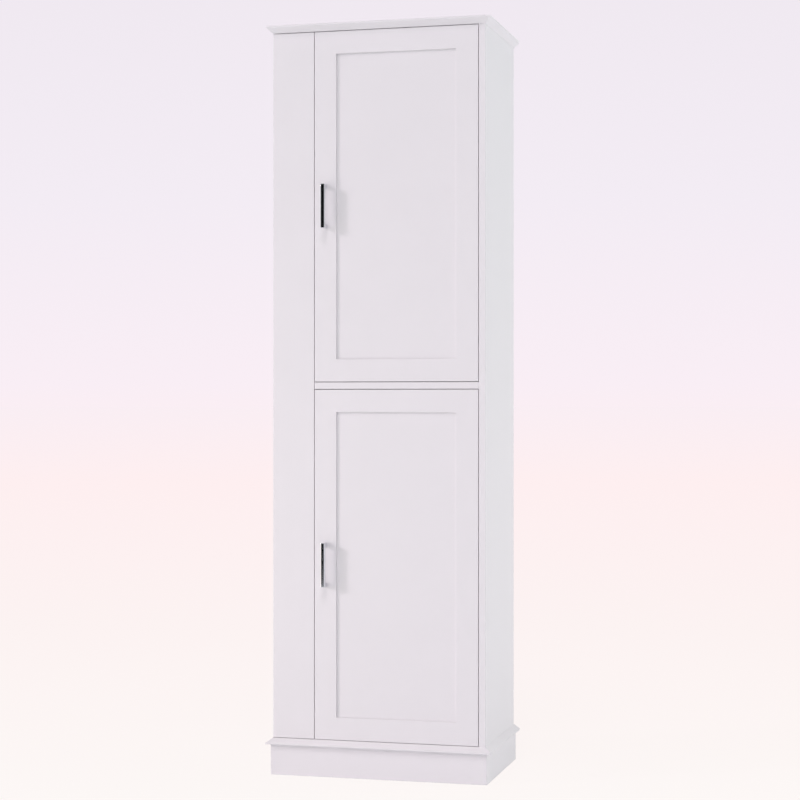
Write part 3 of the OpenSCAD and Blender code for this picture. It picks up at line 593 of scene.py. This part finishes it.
def joined_frame(door):
    """The lacquered frame of a door in one skin: the coat fills the joints of its four members."""
    members = [door + end for end in ("_handle_stile", "_top_rail", "_bottom_rail", "_hinge_stile")]
    piece = new_object(door + "_door_frame", merged_copy(members[0]))
    others = []
    for member in members[1:]:
        other = new_object(member + "_tool", merged_copy(member))
        others.append(other)
        union = piece.modifiers.new("join", "BOOLEAN")
        union.operation = "UNION"
        union.solver = "EXACT"
        union.object = other
    apply_modifiers(piece)
    for other in others:
        bpy.data.objects.remove(other)
    work = bmesh.new()
    work.from_mesh(piece.data)
    join_flat_faces(work, JOINT_MERGE)
    work.to_mesh(piece.data)
    work.free()
    piece.data.set_sharp_from_angle(angle=SMOOTH_ANGLE)
    ease_edges(piece, BOARD_EASE, shortest=CUP_RIM)
    finish_piece(piece, LACQUER, *members)


for door in ("upper", "lower"):
    joined_frame(door)
    dress(door + "_door_panel", LACQUER)
    dress(door + "_handle", CHROME, HANDLE_EASE, HANDLE_SEGMENTS)

# ---------------------------------------------------------------- floor, light and camera

FRONT_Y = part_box("front_stile")[0].y

CAMERA_FOCAL = 87.26             # millimetres
SENSOR = 36.0                    # millimetres wide
CAMERA_TURN = math.radians(14.65)
CAMERA_PLACE = Vector((1.2169, FRONT_Y - 4.4465, 0.9019))
CAMERA_REACH = 600               # metres, past the floor's far edge

# colours of the backdrop from the top of the view to its foot
BACKDROP = ((0.0, "F0E9F1"), (0.25, "F3ECF4"), (0.48, "F9EEF5"), (0.60, "FFEFF0"),
            (0.78, "FDF3F2"), (1.0, "FEF9F7"))

FLOOR_R = 250                    # metres
FLOOR_COLOUR = "F2F3F5"
FLOOR_GLOW = 0.94                # share of the floor that shows its own colour, not the light on it
FLOOR_LIFT = 0.02, 0.19          # light that the floor adds near the object and far from it
FLOOR_REACH = 0.2, 2.0           # metres from the middle where near ends and far begins

LIT_COLOUR = "F9FEFF"
LEFT_LIGHT, RIGHT_LIGHT, SIDE_LIGHT = 0.42, 0.305, 0.965
ACROSS = 0.8                     # sideways part of a direction beyond which it changes no more
SIDE_WAY = Vector((0.85, 0.52, 0.05)).normalized()
SIDE_FADE = 0.45, 0.95           # cosines off that way where the side light starts and is full

LAMP_AWAY = 4                    # metres; a sun's light is the same from any distance
PANEL_LAMP_W = 0.8
CARD_PLACE = (-1.50, FRONT_Y - 4.45, 1.0)
CARD_TURN = math.radians(-18)    # towards the handles
CARD_W, CARD_H = 0.9, 3.2


def backdrop_colour(tree, direction):
    """The backdrop's colour for a direction away from the camera's place, alike all round."""
    rise = add(tree, "ShaderNodeSeparateXYZ", {}, {0: direction}).outputs["Z"]
    level = add(tree, "ShaderNodeVectorMath", {"operation": "MULTIPLY", 1: (1, 1, 0)},
                {0: direction})
    far = add(tree, "ShaderNodeVectorMath", {"operation": "LENGTH"}, {0: level.outputs[0]})
    slope = add(tree, "ShaderNodeMath", {"operation": "DIVIDE"}, {0: rise, 1: far.outputs["Value"]})
    height = add(tree, "ShaderNodeMath",
                 {"operation": "MULTIPLY_ADD", 1: -CAMERA_FOCAL / SENSOR, 2: 0.5},
                 {0: slope.outputs[0]})
    ramp = add(tree, "ShaderNodeValToRGB", {}, {"Fac": height.outputs[0]})
    bands = ramp.color_ramp.elements
    for index, (place, colour) in enumerate(BACKDROP):
        band = bands[index] if index < 2 else bands.new(place)     # a ramp starts with two
        band.position = place
        band.color = linear(colour)
    return ramp.outputs["Color"]


def pale_floor():
    """A wide pale floor that keeps a trace of the object's soft shadow."""
    bpy.ops.mesh.primitive_circle_add(vertices=96, radius=FLOOR_R, fill_type="NGON")
    floor = bpy.context.object
    floor.name = "floor"
    material = bpy.data.materials.new("pale_floor")
    tree = clear_tree(material)
    place = add(tree, "ShaderNodeTexCoord").outputs["Object"]
    seen_from = add(tree, "ShaderNodeVectorMath", {"operation": "SUBTRACT", 1: CAMERA_PLACE},
                    {0: place})
    colour = backdrop_colour(tree, seen_from.outputs[0])
    dull = add(tree, "ShaderNodeBsdfDiffuse", {"Color": linear(FLOOR_COLOUR)})
    away = add(tree, "ShaderNodeVectorMath", {"operation": "LENGTH"}, {0: place})
    level = add(tree, "ShaderNodeMapRange",
                {"From Min": FLOOR_REACH[0], "From Max": FLOOR_REACH[1],
                 "To Min": FLOOR_LIFT[0], "To Max": FLOOR_LIFT[1],
                 "interpolation_type": "SMOOTHSTEP"}, {"Value": away.outputs["Value"]})
    lift = add(tree, "ShaderNodeEmission", {"Color": linear(FLOOR_COLOUR)},
               {"Strength": level.outputs["Result"]})
    matt = add(tree, "ShaderNodeAddShader", {}, {0: dull.outputs[0], 1: lift.outputs[0]})
    glow = add(tree, "ShaderNodeEmission", {"Strength": 1.0}, {"Color": colour})
    seen = add(tree, "ShaderNodeLightPath")
    share = add(tree, "ShaderNodeMath", {"operation": "MULTIPLY", 1: FLOOR_GLOW},
                {0: seen.outputs["Is Camera Ray"]})
    mix = add(tree, "ShaderNodeMixShader", {},
              {0: share.outputs[0], 1: matt.outputs[0], 2: glow.outputs[0]})
    add(tree, "ShaderNodeOutputMaterial", links={"Surface": mix.outputs[0]})
    floor.data.materials.append(material)
    floor.visible_shadow = False


def studio_world():
    """Soft light from all round: stronger from the left than from the right in front, and strongest
    from the right behind, so that the side panel is as light as the front. The camera sees a
    backdrop instead."""
    world = bpy.data.worlds.new("studio")
    bpy.context.scene.world = world
    tree = clear_tree(world)
    direction = add(tree, "ShaderNodeTexCoord").outputs["Generated"]
    split = add(tree, "ShaderNodeSeparateXYZ", {}, {0: direction})
    colour = backdrop_colour(tree, direction)
    across = add(tree, "ShaderNodeMapRange",
                 {"From Min": -ACROSS, "From Max": ACROSS, "To Min": LEFT_LIGHT,
                  "To Max": RIGHT_LIGHT}, {"Value": split.outputs["X"]})
    sideways = add(tree, "ShaderNodeVectorMath", {"operation": "DOT_PRODUCT", 1: SIDE_WAY},
                   {0: direction})
    beside = add(tree, "ShaderNodeMapRange",
                 {"From Min": SIDE_FADE[0], "From Max": SIDE_FADE[1], "To Min": 0.0,
                  "To Max": SIDE_LIGHT, "interpolation_type": "SMOOTHSTEP"},
                 {"Value": sideways.outputs["Value"]})
    level = add(tree, "ShaderNodeMath", {"operation": "ADD"},
                {0: across.outputs["Result"], 1: beside.outputs["Result"]})
    seen = add(tree, "ShaderNodeLightPath")
    lit = add(tree, "ShaderNodeBackground", {"Color": linear(LIT_COLOUR)},
              {"Strength": level.outputs[0]})
    shown = add(tree, "ShaderNodeBackground", {"Strength": 1.0}, {"Color": colour})
    mix = add(tree, "ShaderNodeMixShader", {},
              {0: seen.outputs["Is Camera Ray"], 1: lit.outputs[0], 2: shown.outputs[0]})
    add(tree, "ShaderNodeOutputWorld", links={"Surface": mix.outputs[0]})


def hang(light, colour, place, back):
    """Hangs a lamp at a place, with its back turned in a direction."""
    light.color = linear(colour)[:3]
    holder = new_object(light.name, light)
    holder.location = place
    holder.rotation_mode = "QUATERNION"
    holder.rotation_quaternion = back.to_track_quat("Z", "Y")


def lamp(name, towards, energy, spread, colour):
    """A soft lamp a long way off in a direction; its spread is the angle that it fills."""
    light = bpy.data.lights.new(name, "SUN")
    light.energy = energy
    light.angle = math.radians(spread)
    hang(light, colour, Vector(towards) * LAMP_AWAY, Vector(towards))


def panel_lamp(name, place, target, energy, colour):
    """A square soft panel near the object, which lights its near and low parts a little more."""
    light = bpy.data.lights.new(name, "AREA")
    light.energy = energy
    light.size = PANEL_LAMP_W
    hang(light, colour, place, Vector(place) - Vector(target))


def dark_card():
    """A black card in front on the left. Only mirror-bright metal shows it, as the dark face of the
    handles."""
    bpy.ops.mesh.primitive_plane_add(size=1, location=CARD_PLACE,
                                     rotation=(math.radians(90), 0, CARD_TURN))
    card = bpy.context.object
    card.name = "dark_card"
    card.scale = (CARD_W, CARD_H, 1)
    material = bpy.data.materials.new("black_card")
    tree = clear_tree(material)
    glow = add(tree, "ShaderNodeEmission", {"Color": linear("101012"), "Strength": 1.0})
    add(tree, "ShaderNodeOutputMaterial", links={"Surface": glow.outputs[0]})
    card.data.materials.append(material)
    card.visible_camera = card.visible_diffuse = False
    card.visible_shadow = card.visible_transmission = False


def camera():
    """A level camera a little to the right of straight ahead."""
    lens = bpy.data.cameras.new("camera")
    lens.lens = CAMERA_FOCAL
    lens.sensor_width = SENSOR
    lens.clip_end = CAMERA_REACH
    holder = new_object("camera", lens)
    holder.location = CAMERA_PLACE
    holder.rotation_euler = (math.radians(90), 0, CAMERA_TURN)
    bpy.context.scene.camera = holder


pale_floor()
studio_world()
# the key gives the handles their soft shadows; the overhead lamp shades the plinth under its cap
lamp("key", towards=(-0.82, -0.48, 0.31), energy=0.94, spread=9, colour="FFF3FC")
lamp("overhead", towards=(0.06, -0.58, 0.81), energy=0.83, spread=22, colour="FFF6FA")
panel_lamp("near_left", place=(-1.5, FRONT_Y - 1.2, 0.45), target=(0, 0, 0.7), energy=4.4,
           colour="FFF2E3")
panel_lamp("near_right", place=(1.9, 0.7, 0.3), target=(0.26, 0, 0.5), energy=3.7,
           colour="FFECE0")
dark_card()
camera()
bpy.context.scene.view_settings.view_transform = "Standard"
